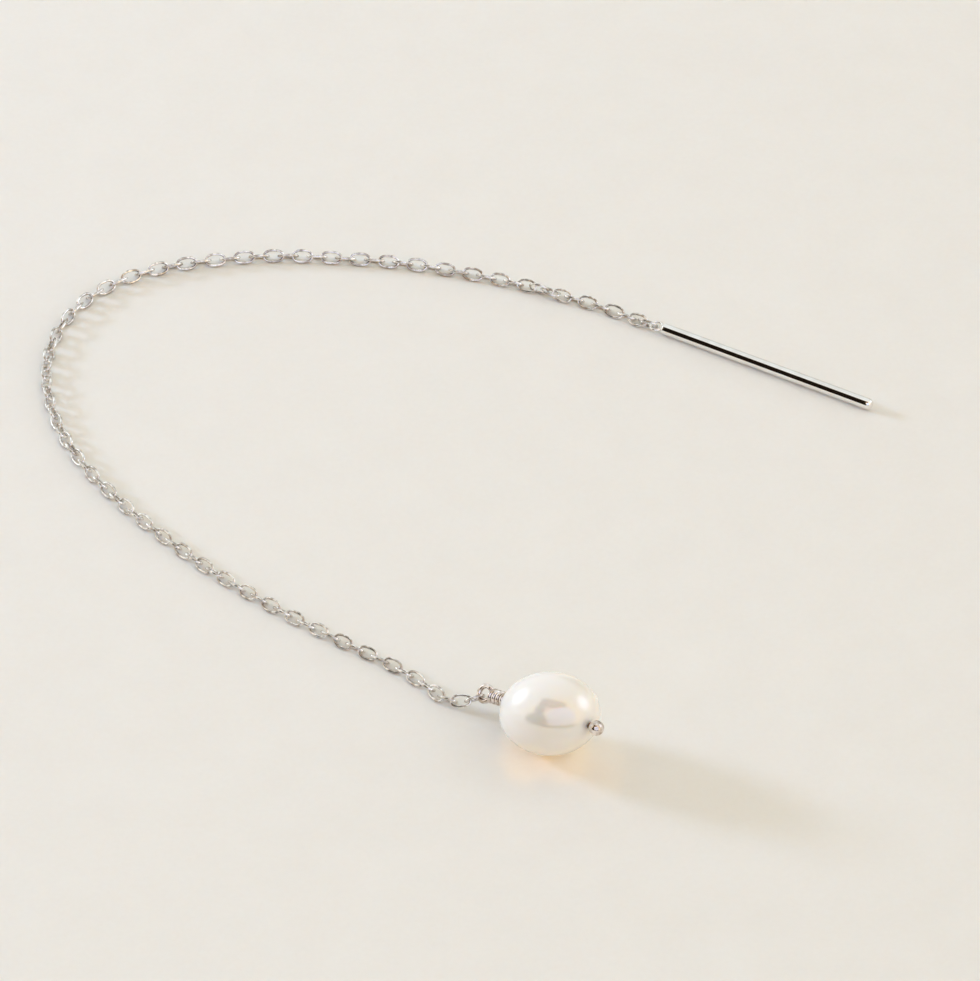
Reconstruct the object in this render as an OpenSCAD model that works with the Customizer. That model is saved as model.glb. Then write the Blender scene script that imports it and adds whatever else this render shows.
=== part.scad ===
// Threader earring lying on a table: a polished bar, a fine cable chain and a wire-wrapped pearl drop.
// Millimetres, +Z up. The origin is under the middle of the whole piece, on the surface it lies on.

/* [Threader bar] */
// Diameter of the bar that goes through the ear
bar_d = 0.9; // [0.8:0.05:1]
// Length of the bar from its ring end to its domed tip
bar_l = 18; // [12:0.5:24]
// Outer diameter of the ring soldered to the bar's end
ring_d = 1.15; // [1.05:0.05:1.25]

/* [Chain] */
// Wire that the links are bent from
link_wire = 0.2; // [0.16:0.02:0.2]
// Outer length of a link
link_l = 1.63; // [1.59:0.02:1.69]
// Outer width of a link
link_w = 1.06; // [1:0.02:1.12]
// Clearance between two links where they hook together
link_gap = 0.1; // [0.1:0.01:0.12]
// How far a link may turn away from its neighbours' even roll, in degrees
roll_wobble = 5; // [0:1:6]

/* [Pearl] */
// Diameter of the pearl across its long axis
pearl_d = 6.14; // [6:0.02:6.3]
// Length of the pearl along its long axis
pearl_l = 7.84; // [7.6:0.04:8.2]
// Lean of the pearl's long axis sideways from its drilled hole, in degrees
lean_turn = 11.5; // [8:0.5:14]
// Lean of the pearl's long axis upwards from its drilled hole, in degrees
lean_tilt = 7.5; // [5:0.5:10]
// Drilled hole through the pearl
bore_d = 0.6; // [0.58:0.02:0.8]

/* [Head pin] */
// Wire of the pin, its wraps and its loop
pin_wire = 0.38; // [0.34:0.02:0.38]
// Ball at the end of the pin
ball_d = 1.14; // [1:0.02:1.3]
// Number of wraps between the loop and the pearl
wraps = 5; // [3:1:5]
// Outer diameter of the wire loop
loop_d = 1.52; // [1.4:0.02:1.6]

/* [Lay] */
// Tilt of the pin, with its ball end up, in degrees
pin_tilt = 15.5; // [12:0.5:18]
// Direction of the pin on the table, in degrees
pin_turn = -40; // [-45:0.5:-35]
// Turn of the wire loop about the pin, in degrees
loop_turn = 47; // [40:1:54]
// Direction of the bar on the table, in degrees
bar_turn = -29.5; // [-33:0.5:-26]
// Direction in which the chain leaves the bar's ring, in degrees
chain_start_turn = 157; // [153:0.5:161]

/* [Hidden] */
$fn = 48;

// How the chain lies: each row is a stretch of links that bend and roll alike
LINKS = 0;
BEND = 1;
DRAW = 2;
ROLL = 3;
lay = [
    // links, bend over the stretch, share of the full pitch drawn out, roll from one link to the next
    [1, -3, 0.76, 75],
    [1, -6, 0.76, 90],
    [5, 10, 0.98, 90],
    [3, -1, 0.83, 60],
    [10, 13, 0.97, 90],
    [8, 9, 0.98, 90],
    [8, 17, 0.99, 90],
    [3, 11, 0.99, 90],
    [4, 25, 1, 90],
    [4, 21.5, 1, 90],
    [5, 22, 0.98, 90],
    [5, 15, 0.98, 90],
    [6, 15, 0.98, 90],
    [8, 8, 0.98, 90],
    [10, 9, 0.98, 90],
    [8, 4, 0.98, 90],
    [5, -16, 0.98, 90],
    [3, 54, 0.96, 85],
];
// Where the first link hooks into the bar's ring
chain_start = [14.92, 20.46];
// Roll of the first link about the chain's direction
first_roll = 60;
// Links at the pearl's end that leave the table and climb to the wire loop
climbing_links = 3;
// How far the first link stands off from a taut hold on the ring
ring_slack = 0.03;
// How late the climb comes: 1 is a straight slope
climb_curve = 1.5;
// Where the last link hangs on the wire loop, turned from the loop's outer end towards the table
hang_turn = 40;
// Depth that wound wires sink into each other
weld = 0.02;
// Depth that the ring's wire sinks into the bar's end, where the two are soldered
solder = 0.07;
// Clearance of the pearl from the wraps and the ball
seat_gap = 0.07;
// Step in degrees of the uneven roll from link to link, chosen so that it does not repeat
wobble_step = 137;

// The link
link_half_w = (link_w - link_wire) / 2;
link_straight = link_l - link_w;
link_half_l = (link_l - link_wire) / 2;
pitch = link_l - 2 * link_wire - link_gap;

// The pearl's outline from its middle to an end is a large side arc and a small cap arc. Their middles lie
// on a 3, 4, 5 triangle, so that the arcs meet without a corner, and the step is that triangle's unit.
pearl_r = pearl_d / 2;
pearl_step = (pearl_l / 2 - pearl_r) / 2;
cap_r = pearl_r - pearl_step;
side_r = pearl_r + 4 * pearl_step;

// The hole leaves the pearl aslant, through the cap arcs
lean_axis = [cos(lean_tilt) * cos(lean_turn), cos(lean_tilt) * sin(lean_turn), sin(lean_tilt)];
lean = acos(lean_axis.x);
hole_reach = 3 * pearl_step * cos(lean) + sqrt(pow(cap_r, 2) - pow(3 * pearl_step * sin(lean), 2));

// The drop, measured along the pin from the middle of its loop
loop_r = (loop_d - pin_wire) / 2;
wrap_pitch = pin_wire - weld / 2;
wraps_from = loop_r - weld;
wraps_to = wraps_from + wraps * wrap_pitch;
pearl_mid = wraps_to + seat_gap + hole_reach;
ball_r = ball_d / 2;
ball_mid = pearl_mid + hole_reach + seat_gap + ball_r;

// Turns of a point about the axes
function about_x(p, a) = [p.x, p.y * cos(a) - p.z * sin(a), p.y * sin(a) + p.z * cos(a)];
function about_y(p, a) = [p.x * cos(a) + p.z * sin(a), p.y, p.z * cos(a) - p.x * sin(a)];
function about_z(p, a) = [p.x * cos(a) - p.y * sin(a), p.x * sin(a) + p.y * cos(a), p.z];

// The pearl rests on its side arc, and that sets the height of the loop
long_axis = about_y(lean_axis, -pin_tilt);
pearl_z = side_r - 4 * pearl_step * sqrt(1 - pow(long_axis.z, 2));
loop_z = pearl_z - pearl_mid * sin(pin_tilt);
hang_in_loop = about_x(loop_r * [-cos(hang_turn), -sin(hang_turn), 0], loop_turn);
hang_offset = about_z(about_y(hang_in_loop, -pin_tilt), pin_turn);
hang_z = loop_z + hang_offset.z;

// Sums of a list so far, starting from a first value
function running(steps, first) = [
    for (i = 0, s = first; i <= len(steps); s = i < len(steps) ? s + steps[i] : s, i = i + 1) s
];

// One value for each link, from the rows of the lay
bends = [for (row = lay) for (k = [1 : row[LINKS]]) row[BEND] / row[LINKS]];
draws = [for (row = lay) for (k = [1 : row[LINKS]]) row[DRAW]];
roll_steps = [for (row = lay) for (k = [1 : row[LINKS]]) row[ROLL]];
links = len(bends);
last = links - 1;
headings = running(bends, chain_start_turn);
even_rolls = running(roll_steps, first_roll);
rolls = [for (i = [0 : last]) even_rolls[i] + roll_wobble * sin(i * wobble_step)];

// A link rests on its edge, so the more it rolls the higher its middle is
function rest_z(i) = link_half_w * abs(sin(rolls[max(0, min(last, i))])) + link_wire / 2;
function hook_z(i) = max(rest_z(i - 1), rest_z(i));
function climb_share(i) = pow(max(0, (i - links + climbing_links) / climbing_links), climb_curve);
hook_heights = [for (i = [0 : links]) hook_z(i) + (hang_z - hook_z(links)) * climb_share(i)];

// The last link hangs on the thicker wire of the loop
last_reach = link_half_l - link_wire / 2 - link_gap - pin_wire / 2;
reaches = [for (i = [0 : last]) i < last ? pitch * draws[i] : pitch / 2 + last_reach];
climbs = [for (i = [0 : last]) asin((hook_heights[i + 1] - hook_heights[i]) / reaches[i])];
directions = [for (i = [0 : last]) about_z(about_y([1, 0, 0], -climbs[i]), headings[i + 1])];
hooks = running([for (i = [0 : last]) reaches[i] * directions[i]], [chain_start.x, chain_start.y, hook_heights[0]]);
function link_mid(i) = i < last ? (hooks[i] + hooks[i + 1]) / 2 : hooks[i] + pitch / 2 * directions[i];

loop_place = hooks[links] - hang_offset;

// The ring lies flat around the first hook, level with the bar
ring_r = (ring_d - link_wire) / 2;
ring_hook = ring_r - (link_wire + link_gap) / 2 - ring_slack;
ring_place = [chain_start.x, chain_start.y, bar_d / 2]
    - ring_hook * [cos(chain_start_turn), sin(chain_start_turn), 0];
bar_from_ring = ring_d / 2 - solder;
// The dome's radius, also from a 3, 4, 5 triangle
dome_r = bar_d / 2 * 5 / 3;

module round_wire(radius, wire) {
    rotate_extrude() translate([radius, 0]) circle(d = wire);
}

module threader_bar() {
    color("silver")
    translate(ring_place) rotate([0, 0, bar_turn]) {
        round_wire(ring_r, link_wire);
        translate([bar_from_ring, 0, 0]) rotate([0, 90, 0]) domed_bar();
    }
}

module domed_bar() {
    rotate_extrude() intersection() {
        square([bar_d / 2, bar_l]);
        union() {
            translate([0, bar_l - dome_r]) circle(dome_r);
            square([bar_d, bar_l - dome_r]);
        }
    }
}

module link_end() {
    translate([link_straight / 2, 0, 0])
        rotate_extrude(angle = 180, start = -90) translate([link_half_w, 0]) circle(d = link_wire);
}

module link() {
    link_end();
    mirror([1, 0, 0]) link_end();
    for (side = [-1, 1])
        translate([-link_straight / 2, side * link_half_w, 0])
            rotate([0, 90, 0]) cylinder(d = link_wire, h = link_straight);
}

module chain() {
    color("silver")
    for (i = [0 : last])
        translate(link_mid(i)) rotate([0, -climbs[i], headings[i + 1]]) rotate([rolls[i], 0, 0]) link();
}

// Puts a shape built along +X from the loop's middle where the drop lies
module drop_place() {
    translate(loop_place) rotate([0, -pin_tilt, pin_turn]) children();
}

// Half outline of the pin: the shaft, the wraps round it and the ball
module pin_outline() {
    translate([0, wraps_from]) {
        square([pin_wire / 2, ball_mid - wraps_from]);
        square([pin_wire - weld, wraps_to - wraps_from]);
    }
    for (i = [0 : wraps - 1])
        translate([pin_wire - weld, wraps_from + (i + 0.5) * wrap_pitch]) circle(d = pin_wire);
    intersection() {
        translate([0, ball_mid]) circle(ball_r);
        translate([0, ball_mid - ball_r]) square([ball_r, 2 * ball_r]);
    }
}

module head_pin() {
    color("silver")
    drop_place() {
        rotate([loop_turn, 0, 0]) round_wire(loop_r, pin_wire);
        rotate([0, 90, 0]) rotate_extrude() pin_outline();
    }
}

// Half outline of one end of the pearl, from its middle up
module pearl_end() {
    joint_y = 3 * pearl_step + 0.6 * cap_r;
    intersection() {
        translate([-4 * pearl_step, 0]) circle(side_r);
        square([pearl_r, joint_y]);
    }
    intersection() {
        translate([0, 3 * pearl_step]) circle(cap_r);
        translate([0, joint_y]) square([pearl_r, cap_r]);
    }
}

module pearl() {
    color("ivory")
    drop_place() translate([pearl_mid, 0, 0]) difference() {
        rotate([0, -lean_tilt, lean_turn]) rotate([0, 90, 0]) rotate_extrude() {
            pearl_end();
            mirror([0, 1]) pearl_end();
        }
        translate([-pearl_l / 2, 0, 0]) rotate([0, 90, 0]) cylinder(d = bore_d, h = pearl_l);
    }
}

threader_bar();
chain();
head_pin();
pearl();
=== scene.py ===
import math
from collections import namedtuple

import bmesh
import bpy
import numpy as np
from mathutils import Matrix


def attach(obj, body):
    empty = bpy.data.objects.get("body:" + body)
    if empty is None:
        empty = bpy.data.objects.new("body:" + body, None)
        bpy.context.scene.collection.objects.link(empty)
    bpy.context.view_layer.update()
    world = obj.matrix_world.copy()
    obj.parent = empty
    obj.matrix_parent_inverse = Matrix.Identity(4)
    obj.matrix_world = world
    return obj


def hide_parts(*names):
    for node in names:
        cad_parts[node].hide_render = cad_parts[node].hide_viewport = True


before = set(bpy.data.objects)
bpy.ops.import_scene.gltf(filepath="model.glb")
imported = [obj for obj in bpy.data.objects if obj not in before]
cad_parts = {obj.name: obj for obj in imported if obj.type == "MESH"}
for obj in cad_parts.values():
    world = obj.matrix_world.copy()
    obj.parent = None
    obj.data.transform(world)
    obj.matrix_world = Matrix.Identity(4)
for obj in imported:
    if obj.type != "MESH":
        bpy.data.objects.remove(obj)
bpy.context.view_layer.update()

MM = 0.001
SEED = 7

# Sizes of the earring in millimetres, as in the part's source
BAR_D = 0.9
BAR_L = 18
RING_D = 1.15
SOLDER = 0.07
LINK_L = 1.63
LINK_W = 1.06
LINK_WIRE = 0.2
PEARL_D = 6.14
PEARL_L = 7.84
BORE_D = 0.6
PIN_WIRE = 0.38
BALL_D = 1.14
LOOP_D = 1.52
SEAT_GAP = 0.07

# Where the scene departs a little from the source, in millimetres: links that all but touch, a hole
# close round its wire, softer ends on the bar, and wraps that lie a hair apart
LINK_REACH = 0.035
HOLE_ROUND_WIRE = 0.04
BAR_RIM = 0.2
BAR_DOME = 0.4
WRAP_PITCH = PIN_WIRE * 1.02
WRAP_R = PIN_WIRE * 1.01

# The photograph's view, for an image of 980 by 981
IMAGE_SIDE = 981
FOCAL_PIXELS = 10000
PIXELS_PER_MM = 13.4
VIEW_ELEVATION = 41.95
VIEW_TARGET = (2.54, 2.15, 0)
SENSOR = 36


def cos_sin(degrees):
    angle = math.radians(degrees)
    return math.cos(angle), math.sin(angle)


def unit(vector):
    vector = np.asarray(vector, float)
    return vector / np.linalg.norm(vector)


# Where the pieces lie, read from the frame


def node_triangles(node):
    """The corners of a CAD node's triangles, in millimetres."""
    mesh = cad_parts[node].data
    mesh.calc_loop_triangles()
    points = np.array([v.co for v in mesh.vertices]) / MM
    return points[np.array([t.vertices for t in mesh.loop_triangles])]


def surface_axes(triangles):
    """The middle of a surface by area, and its long, middle and short axes."""
    edges = triangles[:, 1:] - triangles[:, :1]
    area = np.linalg.norm(np.cross(edges[:, 0], edges[:, 1]), axis=1)
    centres = triangles.mean(axis=1)
    middle = (centres * area[:, None]).sum(axis=0) / area.sum()
    away = centres - middle
    _, vectors = np.linalg.eigh((away * area[:, None]).T @ away)
    return middle, vectors[:, ::-1].T


def separate_solids(node):
    """The triangles of each loose solid of a node."""
    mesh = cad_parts[node].data
    mesh.calc_loop_triangles()
    points, same = np.unique([v.co for v in mesh.vertices], axis=0, return_inverse=True)
    corners = same.reshape(-1)[np.array([t.vertices for t in mesh.loop_triangles])]
    solid = np.arange(len(points))
    before = None
    while before is None or (before != solid).any():
        before = solid.copy()
        lowest = np.repeat(solid[corners].min(axis=1), 3)
        np.minimum.at(solid, corners.reshape(-1), lowest)
        solid = solid[solid]
    owner = solid[corners[:, 0]]
    return [points[corners[owner == first]] / MM for first in np.unique(owner)]


class Place:
    """An origin and three axes that a piece is built in."""

    def __init__(self, origin, along, across):
        self.origin = np.asarray(origin, float)
        self.along = unit(along)
        self.across = unit(across - np.dot(across, self.along) * self.along)
        self.up = np.cross(self.along, self.across)

    def put(self, points):
        return self.origin + points @ np.array([self.along, self.across, self.up])


def bar_place():
    """From the middle of the ring, along the bar to its tip."""
    corners = node_triangles("threader_bar")
    middle, axes = surface_axes(corners)
    along = axes[0] * np.sign(axes[0][0])
    reach = (corners.reshape(-1, 3) - middle) @ along
    ring_middle = middle + (reach.min() + RING_D / 2) * along
    return Place(ring_middle, along, np.cross([0, 0, 1], along))


def drop_place():
    """From the middle of the wire loop, along the pin and across in the loop's plane, and how far from
    there the ball reaches."""
    pin = node_triangles("head_pin")
    pin_middle, _ = surface_axes(pin)
    pearl_middle, _ = surface_axes(node_triangles("pearl"))
    along = unit(pearl_middle - pin_middle)
    reach = (pin.reshape(-1, 3) - pin_middle) @ along
    loop_middle = pin_middle + (reach.min() + LOOP_D / 2) * along
    in_loop = ((pin.mean(axis=1) - loop_middle) @ along) < 0
    _, axes = surface_axes(pin[in_loop])
    across = max(axes[:2], key=lambda a: abs(np.cross(a, along)).sum())
    ball_end = reach.max() - reach.min() - LOOP_D / 2
    return Place(loop_middle, along, across), ball_end


def pearl_place(drop):
    """From the middle of the pearl, with its long axis and the two across it, without the hole's wall."""
    corners = node_triangles("pearl")
    away = corners.mean(axis=1) - drop.origin
    off_pin = np.linalg.norm(np.cross(away, drop.along), axis=1)
    outside_the_hole = off_pin > BORE_D * 0.55
    middle, axes = surface_axes(corners[outside_the_hole])
    return Place(middle, axes[0] * np.sign(axes[0] @ drop.along), axes[1])


def link_places():
    """One place for each link of the chain, in order from the bar's ring to the wire loop."""
    loose = [surface_axes(triangles) for triangles in separate_solids("chain")]
    here = bar_place().origin
    places = []
    while loose:
        nearest = min(range(len(loose)), key=lambda i: np.linalg.norm(loose[i][0] - here))
        middle, axes = loose.pop(nearest)
        along = axes[0] if np.dot(axes[0], middle - here) > 0 else -axes[0]
        places.append(Place(middle, along, axes[1]))
        here = middle
    return places


# Making meshes


class Shell:
    """Points and faces gathered for one piece."""

    def __init__(self):
        self.points = []
        self.faces = []
        self.count = 0

    def grid(self, rows, close_rows, cap_ends):
        """Joins rows of points round, and from each row to the next."""
        rows = np.asarray(rows)
        steps, sides = rows.shape[:2]
        start = self.count
        self.points.append(rows.reshape(-1, 3))
        self.count += steps * sides
        index = np.arange(steps * sides).reshape(steps, sides) + start
        for i in range(steps if close_rows else steps - 1):
            this, following = index[i], index[(i + 1) % steps]
            for j in range(sides):
                k = (j + 1) % sides
                self.faces.append((this[j], following[j], following[k], this[k]))
        if cap_ends:
            self.faces.append(tuple(index[0]))
            self.faces.append(tuple(index[-1][::-1]))

    def mesh(self, name):
        mesh = bpy.data.meshes.new(name)
        points = np.vstack(self.points) * MM
        mesh.from_pydata(points.tolist(), [], [tuple(int(i) for i in f) for f in self.faces])
        bm = bmesh.new()
        bm.from_mesh(mesh)
        bmesh.ops.recalc_face_normals(bm, faces=bm.faces)
        bm.to_mesh(mesh)
        bm.free()
        mesh.shade_smooth()
        return mesh


def turned(profile, sides, place):
    """Rows of points for a shape turned about the place's long axis, from pairs of along and radius."""
    angles = np.arange(sides) * math.tau / sides
    rows = []
    for along, radius in profile:
        across = radius * np.cos(angles)
        up = radius * np.sin(angles)
        rows.append(place.put(np.column_stack([np.full(sides, along), across, up])))
    return np.array(rows)


def swept(path, radii, sides, closed):
    """Rows of points for a round wire that follows a path, carried along without twist."""
    path = np.asarray(path, float)
    if closed:
        tangents = np.roll(path, -1, axis=0) - np.roll(path, 1, axis=0)
    else:
        tangents = np.gradient(path, axis=0)
    tangents /= np.linalg.norm(tangents, axis=1)[:, None]
    no_wire_starts_along = [0.31, 0.22, 0.93]
    side = unit(np.cross(tangents[0], no_wire_starts_along))
    angles = np.arange(sides) * math.tau / sides
    rows = []
    for point, tangent, radius in zip(path, tangents, radii):
        side = unit(side - np.dot(side, tangent) * tangent)
        other = np.cross(tangent, side)
        circle = np.outer(np.cos(angles), side) + np.outer(np.sin(angles), other)
        rows.append(point + radius * circle)
    return np.array(rows)


def smooth_share(x, start, end):
    """0 before start, 1 after end, and an even S between them."""
    share = np.clip((np.asarray(x, float) - start) / (end - start), 0, 1)
    return share * share * (3 - 2 * share)


def add_piece(name, shell, node, material):
    piece = bpy.data.objects.new(name, shell.mesh(name))
    bpy.context.scene.collection.objects.link(piece)
    piece.data.materials.append(material)
    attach(piece, "root")
    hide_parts(node)
    return piece


# The pieces


def bar_profile():
    """The bar's outline from its rounded end at the ring to its domed tip."""
    radius = BAR_D / 2
    centre = 0.001
    squareness = 0.5
    rim_steps = 7
    shaft_steps = 60
    dome_steps = 14
    profile = [(0, centre), (0, radius - BAR_RIM)]
    for angle in np.linspace(0, 90, rim_steps)[1:]:
        c, s = cos_sin(angle)
        profile.append((BAR_RIM - BAR_RIM * c, radius - BAR_RIM + BAR_RIM * s))
    for along in np.linspace(BAR_RIM, BAR_L - BAR_DOME, shaft_steps)[1:]:
        profile.append((along, radius))
    for angle in np.linspace(0, 90, dome_steps)[1:]:
        c, s = cos_sin(angle)
        profile.append((BAR_L - BAR_DOME + BAR_DOME * s, max(centre, radius * c ** squareness)))
    return profile


def make_bar(material):
    place = bar_place()
    fillet_height = 0.5
    fillet_spread = 0.32
    bar_sides = 64
    ring_steps = 72
    ring_sides = 16
    start = RING_D / 2 - SOLDER
    shell = Shell()
    rows = turned([(start + x, r) for x, r in bar_profile()], bar_sides, place)
    shell.grid(rows, close_rows=False, cap_ends=True)
    ring_r = (RING_D - LINK_WIRE) / 2
    angles = np.arange(ring_steps) * math.tau / ring_steps
    ring = np.column_stack([ring_r * np.cos(angles), ring_r * np.sin(angles), np.zeros(ring_steps)])
    # Solder fills the corner where the ring's wire meets the bar
    from_bar = np.minimum(angles, math.tau - angles)
    radii = LINK_WIRE / 2 * (1 + fillet_height * np.exp(-(from_bar / fillet_spread) ** 2))
    rows = swept(place.put(ring), radii, ring_sides, closed=True)
    shell.grid(rows, close_rows=True, cap_ends=False)
    return add_piece("bar_and_ring", shell, "threader_bar", material)


def link_outline(steps=40, roundness=2.4):
    """A soft oval, between an ellipse and a rectangle, in millimetres."""
    half_l = (LINK_L - LINK_WIRE) / 2 + LINK_REACH
    half_w = (LINK_W - LINK_WIRE) / 2
    angles = np.arange(steps) * math.tau / steps
    c, s = np.cos(angles), np.sin(angles)
    power = 2 / roundness
    x = half_l * np.sign(c) * np.abs(c) ** power
    y = half_w * np.sign(s) * np.abs(s) ** power
    return np.column_stack([x, y, np.zeros(steps)])


def make_chain(material):
    """Each link has a swelling where its wire is joined, and is bent by hand, so no two are alike."""
    chance = np.random.default_rng(SEED)
    seam_height = 0.16
    seam_spread = 0.22
    hand_bent = 0.02
    wire_sides = 12
    outline = link_outline()
    angles = np.arange(len(outline)) * math.tau / len(outline)
    shell = Shell()
    for place in link_places():
        seam_side = math.pi / 2 * chance.choice([1, 3])
        seam = seam_height * np.exp(-((angles - seam_side) / seam_spread) ** 2)
        wire = LINK_WIRE / 2 * (1 + seam + hand_bent * chance.standard_normal())
        bent = outline * [1, 1 + hand_bent * chance.standard_normal(), 1]
        rows = swept(place.put(bent), wire, wire_sides, closed=True)
        shell.grid(rows, close_rows=True, cap_ends=False)
    return add_piece("cable_chain", shell, "chain", material)


def pearl_reach(directions, pearl):
    """How far the surface is from the middle: a side arc and a cap arc on a 3, 4, 5 triangle."""
    half = PEARL_D / 2
    step = (PEARL_L / 2 - half) / 2
    cap = half - step
    side = half + 4 * step
    c = np.abs(directions @ pearl.along)
    s = np.sqrt(1 - np.minimum(1, c * c))
    on_cap = 3 * step * c + np.sqrt(cap ** 2 - (3 * step * s) ** 2)
    on_side = np.sqrt(side ** 2 - (4 * step * c) ** 2) - 4 * step * s
    return np.where(on_cap * c > 3 * step + 0.6 * cap, on_cap, on_side)


def ball_and_shaft(ball_mid):
    """The turned outline of the straight wire and its ball."""
    wire_r = PIN_WIRE / 2
    ball_r = BALL_D / 2
    neck = 0.12
    neck_flare = 0.4
    neck_r = wire_r + neck * neck_flare
    in_the_wraps = 0.5
    tip = 179.9
    shaft_steps = 8
    ball_steps = 30
    profile = [(in_the_wraps, wire_r)]
    reach = math.sqrt(ball_r ** 2 - neck_r ** 2)
    for along in np.linspace(2 * in_the_wraps, ball_mid - reach - neck, shaft_steps):
        profile.append((along, wire_r))
    neck_angle = math.degrees(math.asin(neck_r / ball_r))
    for angle in np.linspace(neck_angle, tip, ball_steps):
        c, s = cos_sin(angle)
        profile.append((ball_mid - ball_r * c, ball_r * s))
    return profile


def loop_and_wraps(wraps_to):
    """The line that the wire follows round the loop and then round its own shaft."""
    loop_r = (LOOP_D - PIN_WIRE) / 2
    cut_end = 12
    lift_from = 292
    loop_steps = 60
    steps_a_turn = 30
    line = []
    for angle in np.linspace(cut_end, 360, loop_steps)[:-1]:
        c, s = cos_sin(angle)
        line.append((loop_r * c, loop_r * s, WRAP_R * smooth_share(angle, lift_from, 360)))
    length = wraps_to - PIN_WIRE / 2 - loop_r
    turns = length / WRAP_PITCH
    for turn in np.linspace(0, turns, int(turns * steps_a_turn)):
        c, s = cos_sin(360 * turn)
        line.append((loop_r + length * turn / turns, WRAP_R * s, WRAP_R * c))
    return np.array(line)


def make_head_pin(material):
    place, ball_end = drop_place()
    pearl = pearl_place(place)
    shaft_sides = 40
    wire_sides = 20
    ball_mid = ball_end - BALL_D / 2
    pearl_from = ball_mid - BALL_D / 2 - SEAT_GAP - 2 * float(pearl_reach(place.along, pearl))
    shell = Shell()
    rows = turned(ball_and_shaft(ball_mid), shaft_sides, place)
    shell.grid(rows, close_rows=False, cap_ends=True)
    line = loop_and_wraps(pearl_from - SEAT_GAP / 2)
    radii = np.full(len(line), PIN_WIRE / 2)
    # The last wrap ends in a rounded tip
    radii[-4:] *= [0.97, 0.85, 0.6, 0.25]
    rows = swept(place.put(line), radii, wire_sides, closed=False)
    shell.grid(rows, close_rows=False, cap_ends=True)
    return add_piece("wire_loop_and_pin", shell, "head_pin", material)


def grown_share(directions):
    """How much a grown pearl falls short of its even form, from 0 to 1, in four slow waves over it."""
    waves = np.array([[1.9, -0.7, 1.1], [-0.8, 2.3, 0.6], [0.5, 1.2, -2.6], [3.1, 1.4, 1.7]])
    starts = np.array([0.4, 1.9, 3.3, 5.2])
    closeness = 1.6
    return 0.5 + np.sin(directions @ waves.T * closeness + starts).sum(axis=-1) / (2 * len(waves))


def make_pearl(material):
    """One closed skin: over the pearl from one mouth of the hole to the other, and back through it."""
    drop, _ = drop_place()
    pearl = pearl_place(drop)
    sides = 160
    rows_over = 140
    rows_through = 24
    mouth_r = PIN_WIRE / 2 + HOLE_ROUND_WIRE
    worn = 0.04
    worn_slope = 0.2
    wall_r = mouth_r - worn * worn_slope
    unevenness = 0.006
    exit_reach = float(pearl_reach(drop.along, pearl))
    rim = math.degrees(math.asin(mouth_r / exit_reach))
    angles = np.arange(sides) * math.tau / sides
    round_pin = np.outer(np.cos(angles), drop.across) + np.outer(np.sin(angles), drop.up)
    rows = []
    for polar in np.linspace(rim, 180 - rim, rows_over):
        c, s = cos_sin(polar)
        directions = c * drop.along + s * round_pin
        reach = pearl_reach(directions, pearl) * (1 - unevenness * grown_share(directions))
        rows.append(pearl.origin + reach[:, None] * directions)
    for along in np.linspace(worn - exit_reach, exit_reach - worn, rows_through):
        rows.append(pearl.origin + along * drop.along + wall_r * round_pin)
    shell = Shell()
    shell.grid(rows, close_rows=True, cap_ends=False)
    return add_piece("drop_pearl", shell, "pearl", material)


# Materials


class Nodes:
    """Short ways to add nodes and links to one tree. A colour is given as red, green and blue."""

    def __init__(self, tree):
        self.tree = tree

    def add(self, kind, **inputs):
        node = self.tree.nodes.new(kind)
        self.dress(node, **inputs)
        return node

    def feed(self, socket, value):
        if isinstance(value, bpy.types.NodeSocket):
            self.tree.links.new(value, socket)
        elif socket.type == "RGBA":
            socket.default_value = (*value, 1)
        else:
            socket.default_value = value

    def dress(self, node, **inputs):
        for name, value in inputs.items():
            self.feed(node.inputs[name.replace("_", " ")], value)

    def noise(self, vector, scale, detail=2.0, roughness=0.5):
        inputs = {"Vector": vector, "Scale": scale, "Detail": detail, "Roughness": roughness}
        return self.add("ShaderNodeTexNoise", **inputs).outputs["Fac"]

    def ranged(self, value, from_min, from_max, to_min=0.0, to_max=1.0):
        given = {"Value": value, "From Min": from_min, "From Max": from_max}
        wanted = {"To Min": to_min, "To Max": to_max}
        return self.add("ShaderNodeMapRange", **given, **wanted).outputs["Result"]

    def mixed(self, share, first, second):
        node = self.tree.nodes.new("ShaderNodeMix")
        node.data_type = "RGBA"
        self.dress(node, Factor=share, A=first, B=second)
        return node.outputs["Result"]

    def maths(self, operation, first, second=0.0):
        node = self.tree.nodes.new("ShaderNodeMath")
        node.operation = operation
        self.feed(node.inputs[0], first)
        self.feed(node.inputs[1], second)
        return node.outputs[0]


def group(name, inputs, outputs):
    """A shader node group with named sockets, given as lists of name, type and value."""
    tree = bpy.data.node_groups.new(name, "ShaderNodeTree")
    for label, kind, value in inputs:
        socket = tree.interface.new_socket(label, in_out="INPUT", socket_type=kind)
        if value is not None:
            socket.default_value = value
    for label, kind in outputs:
        tree.interface.new_socket(label, in_out="OUTPUT", socket_type=kind)
    nodes = Nodes(tree)
    return tree, nodes, nodes.add("NodeGroupInput"), nodes.add("NodeGroupOutput")


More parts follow.
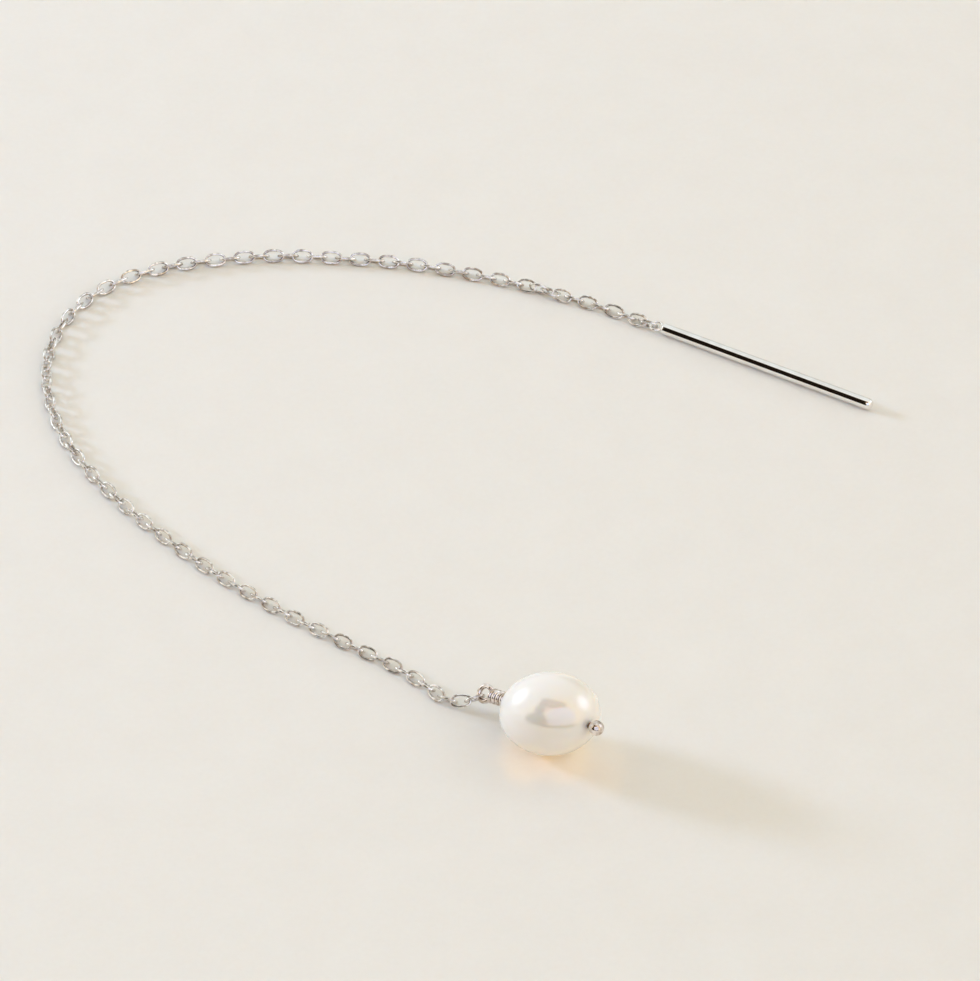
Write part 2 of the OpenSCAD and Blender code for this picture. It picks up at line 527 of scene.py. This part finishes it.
def polishing_marks_group():
    """Fine marks left by polishing, and the faint waves in a drawn wire."""
    inputs = [
        ("Vector", "NodeSocketVector", None),
        ("Mark Size", "NodeSocketFloat", 0.1),
        ("Wave Size", "NodeSocketFloat", 1.0),
    ]
    outputs = [("Height", "NodeSocketFloat"), ("Haze", "NodeSocketFloat")]
    tree, nodes, given, result = group("polishing_marks", inputs, outputs)
    mark_scale = nodes.maths("DIVIDE", 1 / MM, given.outputs["Mark Size"])
    wave_scale = nodes.maths("DIVIDE", 1 / MM, given.outputs["Wave Size"])
    marks = nodes.noise(given.outputs["Vector"], mark_scale, detail=3.0, roughness=0.6)
    waves = nodes.noise(given.outputs["Vector"], wave_scale, detail=1.0, roughness=0.4)
    mark_depth = 0.25
    height = nodes.maths("ADD", nodes.maths("MULTIPLY", marks, mark_depth), waves)
    haze = nodes.ranged(marks, 0.35, 0.7)
    nodes.dress(result, Height=height, Haze=haze)
    return tree


def new_material(name):
    """A material with its nodes, its shader and a place on the surface to paint by."""
    material = bpy.data.materials.new(name)
    material.use_nodes = True
    nodes = Nodes(material.node_tree)
    shader = material.node_tree.nodes["Principled BSDF"]
    return material, nodes, shader, nodes.add("ShaderNodeTexCoord").outputs["Object"]


# The finish of each silver: bright and dull tones, roughness from clear to hazy, the sizes of its marks
# and waves and the depth of both in millimetres, and for wire the colour of its tarnish and painted
# shade where pieces crowd, and how near a crowd is
BAR_FINISH = {
    "bright": (0.93, 0.92, 0.90),
    "dull": (0.87, 0.85, 0.82),
    "roughness": (0.04, 0.10),
    "mark_size": 0.12,
    "wave_size": 1.6,
    "bump": 0.004,
}
CHAIN_FINISH = {
    "bright": (0.94, 0.92, 0.90),
    "dull": (0.50, 0.45, 0.40),
    "roughness": (0.03, 0.11),
    "mark_size": 0.08,
    "wave_size": 0.6,
    "bump": 0.006,
    "tarnish_and_shade": (0.20, 0.16, 0.13),
    "crowd": 0.25,
}
PIN_FINISH = {
    "bright": (0.88, 0.82, 0.79),
    "dull": (0.52, 0.44, 0.37),
    "roughness": (0.04, 0.12),
    "mark_size": 0.08,
    "wave_size": 0.7,
    "bump": 0.008,
    "tarnish_and_shade": (0.30, 0.19, 0.12),
    "crowd": 0.5,
}


def silver(name, marks, bright, dull, roughness, mark_size, wave_size, bump, tarnish_and_shade=None, crowd=0.0):
    """A polished silver whose tone and gloss vary a little, with tarnish and painted shade where pieces
    crowd, if any.
    """
    material, nodes, shader, where = new_material(name)
    patch_size = wave_size * 0.7
    wear = nodes.tree.nodes.new("ShaderNodeGroup")
    wear.node_tree = marks
    nodes.dress(wear, Vector=where, Mark_Size=mark_size, Wave_Size=wave_size)
    tone = nodes.noise(where, 1 / (MM * patch_size))
    colour = nodes.mixed(nodes.ranged(tone, 0.40, 0.62), bright, dull)
    if tarnish_and_shade:
        # Partly tarnish in the hollows, partly painted shade: the colour goes towards the dark tone where
        # other surfaces lie close, at link joints, crevices and just over the floor
        crowding = nodes.add("ShaderNodeAmbientOcclusion", Distance=crowd * MM)
        crowding.samples = 8
        colour = nodes.mixed(nodes.ranged(crowding.outputs["AO"], 0.25, 0.75), tarnish_and_shade, colour)
    gloss = nodes.ranged(wear.outputs["Haze"], 0.0, 1.0, *roughness)
    raised = nodes.add("ShaderNodeBump", Height=wear.outputs["Height"], Strength=1.0, Distance=bump * MM)
    nodes.dress(shader, Base_Color=colour, Roughness=gloss, Normal=raised.outputs["Normal"], Metallic=1.0)
    return material


def nacre():
    """White nacre: a soft milky body, faint rose and cream clouds and a clear lustre."""
    material, nodes, shader, where = new_material("nacre")
    cream = (0.832, 0.79, 0.694)
    rose = (0.862, 0.79, 0.682)
    clouds_a_mm = 0.35
    growth_waves_a_mm = 0.7
    growth_depth = 0.012
    clouds = nodes.noise(where, clouds_a_mm / MM, detail=1.0)
    milky = nodes.mixed(clouds, cream, rose)
    gloss = nodes.ranged(clouds, 0.0, 1.0, to_min=0.28, to_max=0.36)
    growth = nodes.noise(where, growth_waves_a_mm / MM, detail=1.0)
    raised = nodes.add("ShaderNodeBump", Height=growth, Strength=1.0, Distance=growth_depth * MM)
    nodes.dress(shader, Base_Color=milky, Roughness=gloss, Normal=raised.outputs["Normal"])
    body = {
        "Subsurface Weight": 0.8,
        "Subsurface Radius": (1.0, 0.8, 0.55),
        "Subsurface Scale": 2.5 * MM,
        "IOR": 1.6,
        "Specular Tint": (0.93, 0.92, 1.0),
    }
    lustre = {
        "Coat Weight": 1.0,
        "Coat Roughness": 0.13,
        "Coat IOR": 2.5,
    }
    nodes.dress(shader, **body, **lustre)
    return material


def pale_surface():
    """A warm white surface with a faint mottle, into which light sinks a little."""
    material, nodes, shader, where = new_material("pale_surface")
    darker = (0.800, 0.756, 0.654)
    paler = (0.822, 0.784, 0.685)
    mottles_a_mm = 0.22
    fibres_a_mm = 2.2
    fibre_share = 0.7
    mottle = nodes.noise(where, mottles_a_mm / MM, detail=4.0, roughness=0.6)
    fibres = nodes.noise(where, fibres_a_mm / MM, detail=3.0, roughness=0.6)
    tone = nodes.maths("ADD", mottle, nodes.maths("MULTIPLY", fibres, fibre_share))
    colour = nodes.mixed(nodes.ranged(tone, 0.55, 1.15), darker, paler)
    shader.subsurface_method = "BURLEY"
    finish = {
        "Base Color": colour,
        "Roughness": 0.8,
        "Specular IOR Level": 0.2,
        "Subsurface Weight": 0.6,
        "Subsurface Radius": (1.0, 0.5, 0.25),
        "Subsurface Scale": 1.0 * MM,
    }
    nodes.dress(shader, **finish)
    return material


# The studio


def make_floor():
    half = 1500
    lines = 31
    shell = Shell()
    steps = np.linspace(-half, half, lines)
    shell.points.append(np.array([(x, y, 0) for y in steps for x in steps]))
    for i in range(lines - 1):
        for j in range(lines - 1):
            k = i * lines + j
            shell.faces.append((k, k + 1, k + lines + 1, k + lines))
    floor = bpy.data.objects.new("floor", shell.mesh("floor"))
    bpy.context.scene.collection.objects.link(floor)
    floor.data.materials.append(pale_surface())
    return floor


def room_direction(azimuth, elevation):
    """A direction into the room: azimuth from +X towards +Y, elevation above the table, in degrees."""
    c, s = cos_sin(elevation)
    ca, sa = cos_sin(azimuth)
    return (c * ca, c * sa, s)


def hung(name, lamp, direction, distance, target=(0, 0, 0)):
    """A lamp that far from a target point, in millimetres, and turned to face it."""
    holder = bpy.data.objects.new(name, lamp)
    bpy.context.scene.collection.objects.link(holder)
    away = unit(direction)
    holder.location = (np.array(target) + away * distance) * MM
    flat = math.hypot(away[0], away[1])
    holder.rotation_euler = (math.atan2(flat, away[2]), 0, math.atan2(away[0], -away[1]))
    return holder


def make_window():
    """The soft low light from the left that casts the shadows. What is mirrored is the room's glint."""
    width = 110
    height = 84
    distance = 600
    brightness = 88.0
    daylight = (0.50, 0.64, 1.0)
    from_the_left = room_direction(158, 17)
    lamp = bpy.data.lights.new("left_window", "AREA")
    lamp.shape = "RECTANGLE"
    lamp.size = width * MM
    lamp.size_y = height * MM
    lamp.energy = brightness * math.pi * lamp.size * lamp.size_y
    lamp.color = daylight
    window = hung("left_window", lamp, from_the_left, distance)
    window.visible_glossy = False


def pearl_glow(floor):
    """The warm light that comes through the pearl onto the floor beside it, as lamps for the floor alone."""
    distance = 100
    reach = 2.5
    bulb_r = 0.001
    amber = (1.0, 0.60, 0.20)
    from_the_front = room_direction(-90, 38)
    # Each lamp's spot on the floor, in millimetres, and its brightness
    spots = ((5.1, -26.5, 0.35), (7.9, -26.6, 0.34), (10.6, -28.2, 0.14))
    lit = bpy.data.collections.new("lit_by_pearl_glow")
    lit.objects.link(floor)
    for number, (x, y, brightness) in enumerate(spots, 1):
        lamp = bpy.data.lights.new(f"pearl_glow_{number}", "SPOT")
        lamp.spot_size = 2 * math.atan(reach / distance)
        lamp.spot_blend = 1.0
        lamp.shadow_soft_size = bulb_r * MM
        lamp.energy = brightness * 4 * (math.pi * distance * MM) ** 2
        lamp.color = amber
        holder = hung(lamp.name, lamp, from_the_front, distance, target=(x, y, 0))
        holder.light_linking.receiver_collection = lit


# The room that the silver and the pearl mirror. Each patch is laid over the ones before it, is whole
# within its inner angle from its middle and gone beyond the outer one, all in degrees.
Patch = namedtuple("Patch", "azimuth elevation outer inner colour")
PALE_WALLS = (1.01, 0.97, 0.88)
BACK_WALL = Patch(90, 30, 75, 45, (0.86, 0.88, 0.865))
WARM_FRONT = Patch(-95, 15, 80, 55, (1.30, 1.08, 0.78))
GREY_CORNER = Patch(66, 6, 26, 10, (0.58, 0.60, 0.53))
LEFT_GLINT = Patch(150, 16, 19, 7, (1.9, 2.05, 2.15))
RIGHT_GLINT = Patch(8, 34, 24, 9, (1.8, 1.9, 2.15))
ORANGE = (0.30, 0.15, 0.06)
ORANGE_TOPS = [Patch(-112, 67, 16, 11, ORANGE), Patch(-150, 62, 16, 11, ORANGE)]
BLACK = (0.008, 0.005, 0.003)
# A curved row of dark patches, which the bar mirrors as its black stripe
DARK_ARM = [
    Patch(-139, 9, 24, 20, BLACK),
    Patch(-148, 38, 12, 9, BLACK),
    Patch(-158, 53, 9, 7, BLACK),
    Patch(-170, 60, 8, 6, BLACK),
]
ROOM_PATCHES = [BACK_WALL, WARM_FRONT, GREY_CORNER, LEFT_GLINT, RIGHT_GLINT, *ORANGE_TOPS, *DARK_ARM]
PANEL_LOW = (0.84, 0.84, 0.90)
PANEL_HIGH = (0.95, 1.03, 1.36)
DARK_SKIRTING = (0.06, 0.04, 0.02)


def share_of_patch(nodes, direction, azimuth, elevation, outer, inner):
    """1 within the inner angle of a patch's middle and 0 beyond the outer one, for each direction."""
    facing = nodes.tree.nodes.new("ShaderNodeVectorMath")
    facing.operation = "DOT_PRODUCT"
    nodes.feed(facing.inputs[0], direction)
    facing.inputs[1].default_value = unit(room_direction(azimuth, elevation))
    return nodes.ranged(facing.outputs["Value"], cos_sin(outer)[0], cos_sin(inner)[0])


def make_world():
    """A pale room: neutral behind, warm in front, and dark there round a wide lilac panel."""
    world = bpy.data.worlds.new("room")
    bpy.context.scene.world = world
    world.use_nodes = True
    nodes = Nodes(world.node_tree)
    ground = world.node_tree.nodes["Background"]
    direction = nodes.add("ShaderNodeTexCoord").outputs["Generated"]
    height = nodes.add("ShaderNodeSeparateXYZ", Vector=direction).outputs["Z"]
    colour = PALE_WALLS
    for azimuth, elevation, outer, inner, tint in ROOM_PATCHES:
        share = share_of_patch(nodes, direction, azimuth, elevation, outer, inner)
        colour = nodes.mixed(share, colour, tint)
    panel_tone = nodes.mixed(nodes.ranged(height, 0.2, 0.8), PANEL_LOW, PANEL_HIGH)
    panel = share_of_patch(nodes, direction, azimuth=-88, elevation=31, outer=33, inner=31)
    colour = nodes.mixed(panel, colour, panel_tone)
    low = nodes.ranged(height, 0.07, 0.14, 1.0, 0.0)
    in_front = share_of_patch(nodes, direction, azimuth=-105, elevation=0, outer=56, inner=44)
    colour = nodes.mixed(nodes.maths("MULTIPLY", low, in_front), colour, DARK_SKIRTING)
    nodes.feed(ground.inputs["Color"], colour)


def make_camera():
    camera = bpy.data.cameras.new("camera")
    camera.sensor_width = SENSOR
    camera.lens = FOCAL_PIXELS * SENSOR / IMAGE_SIDE
    camera.clip_start = 0.01
    camera.clip_end = 20
    holder = bpy.data.objects.new("camera", camera)
    bpy.context.scene.collection.objects.link(holder)
    c, s = cos_sin(VIEW_ELEVATION)
    distance = FOCAL_PIXELS / PIXELS_PER_MM
    holder.location = [MM * (t + distance * d) for t, d in zip(VIEW_TARGET, (0, -c, s))]
    holder.rotation_euler = (math.radians(90 - VIEW_ELEVATION), 0, 0)
    bpy.context.scene.camera = holder


def main():
    marks = polishing_marks_group()
    bar_silver = silver("bar_silver", marks, **BAR_FINISH)
    chain_silver = silver("chain_silver", marks, **CHAIN_FINISH)
    pin_silver = silver("pin_silver", marks, **PIN_FINISH)
    make_camera()
    make_bar(bar_silver)
    make_chain(chain_silver)
    make_head_pin(pin_silver)
    make_pearl(nacre())
    floor = make_floor()
    make_window()
    pearl_glow(floor)
    make_world()
    bpy.context.scene.view_settings.view_transform = "Standard"


main()
